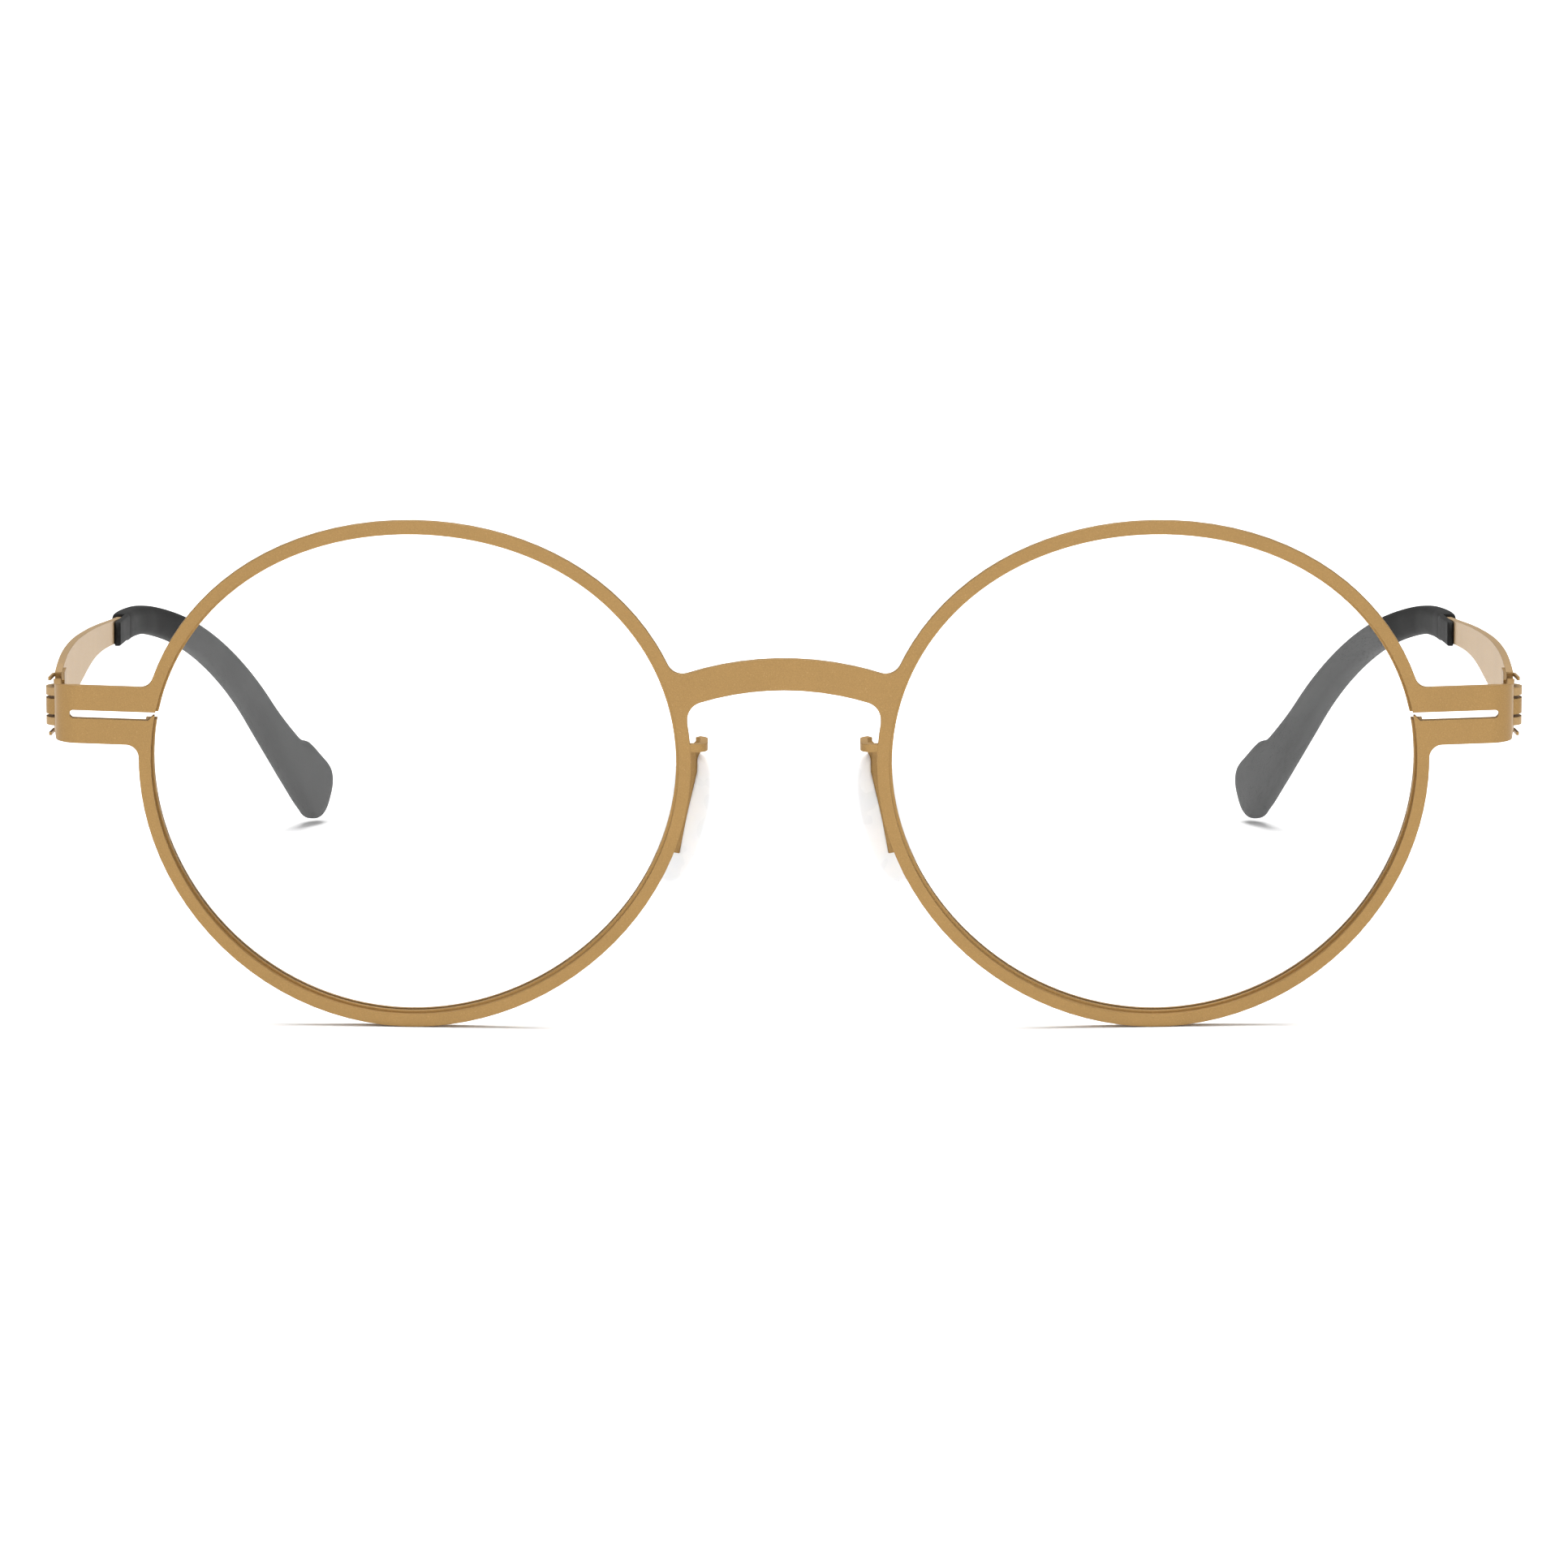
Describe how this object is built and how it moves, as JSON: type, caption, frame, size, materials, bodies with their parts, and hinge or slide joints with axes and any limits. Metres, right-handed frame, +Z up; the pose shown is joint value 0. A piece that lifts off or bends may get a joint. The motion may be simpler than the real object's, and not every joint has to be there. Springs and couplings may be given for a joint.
{
  "type": "eyeglasses frame",
  "caption": "Round sheet-metal eyeglasses frame with split lugs, screwless folding temples, rubber tips and nose pads.",
  "frame": {"origin": "on the table that the frame stands on, under the middle of its bounding box", "axes": "+Z up, the front looks along -Y, the temples run back along +Y, +X towards the temple drawn on the viewer's right when looking along +Y"},
  "size_m": [0.14, 0.152, 0.0485],
  "materials": {
    "gold_paint": "fine sandblasted matte gold-brown paint",
    "clip_paint": "thin spring steel in the same matte gold-brown",
    "tip_rubber": "soft matte black rubber",
    "pad_silicone": "milky translucent silicone, smooth",
    "clear_lens": "clear uncoated plano demo lens"
  },
  "bodies": {
    "root": {"front_sheet": "gold_paint", "eyewire_left": "gold_paint", "eyewire_right": "gold_paint", "demo_lens_left": "clear_lens", "demo_lens_right": "clear_lens", "nose_pad_left": "pad_silicone", "nose_pad_right": "pad_silicone"},
    "left_temple_body": {"temple_left": "gold_paint", "spring_clip_left": "clip_paint", "tip_sleeve_left": "tip_rubber"},
    "right_temple_body": {"temple_right": "gold_paint", "spring_clip_right": "clip_paint", "tip_sleeve_right": "tip_rubber"}
  },
  "joints": [
    {"name": "temple_left_fold", "type": "hinge", "parent": "root", "child": "left_temple_body", "pos_m": [-0.06892, -0.06293, 0.02971], "axis": [0, 0.0872, -0.9962], "range_deg": [0, 80]},
    {"name": "temple_right_fold", "type": "hinge", "parent": "root", "child": "right_temple_body", "pos_m": [0.06892, -0.06293, 0.02971], "axis": [0, -0.0872, 0.9962], "range_deg": [0, 72]}
  ]
}
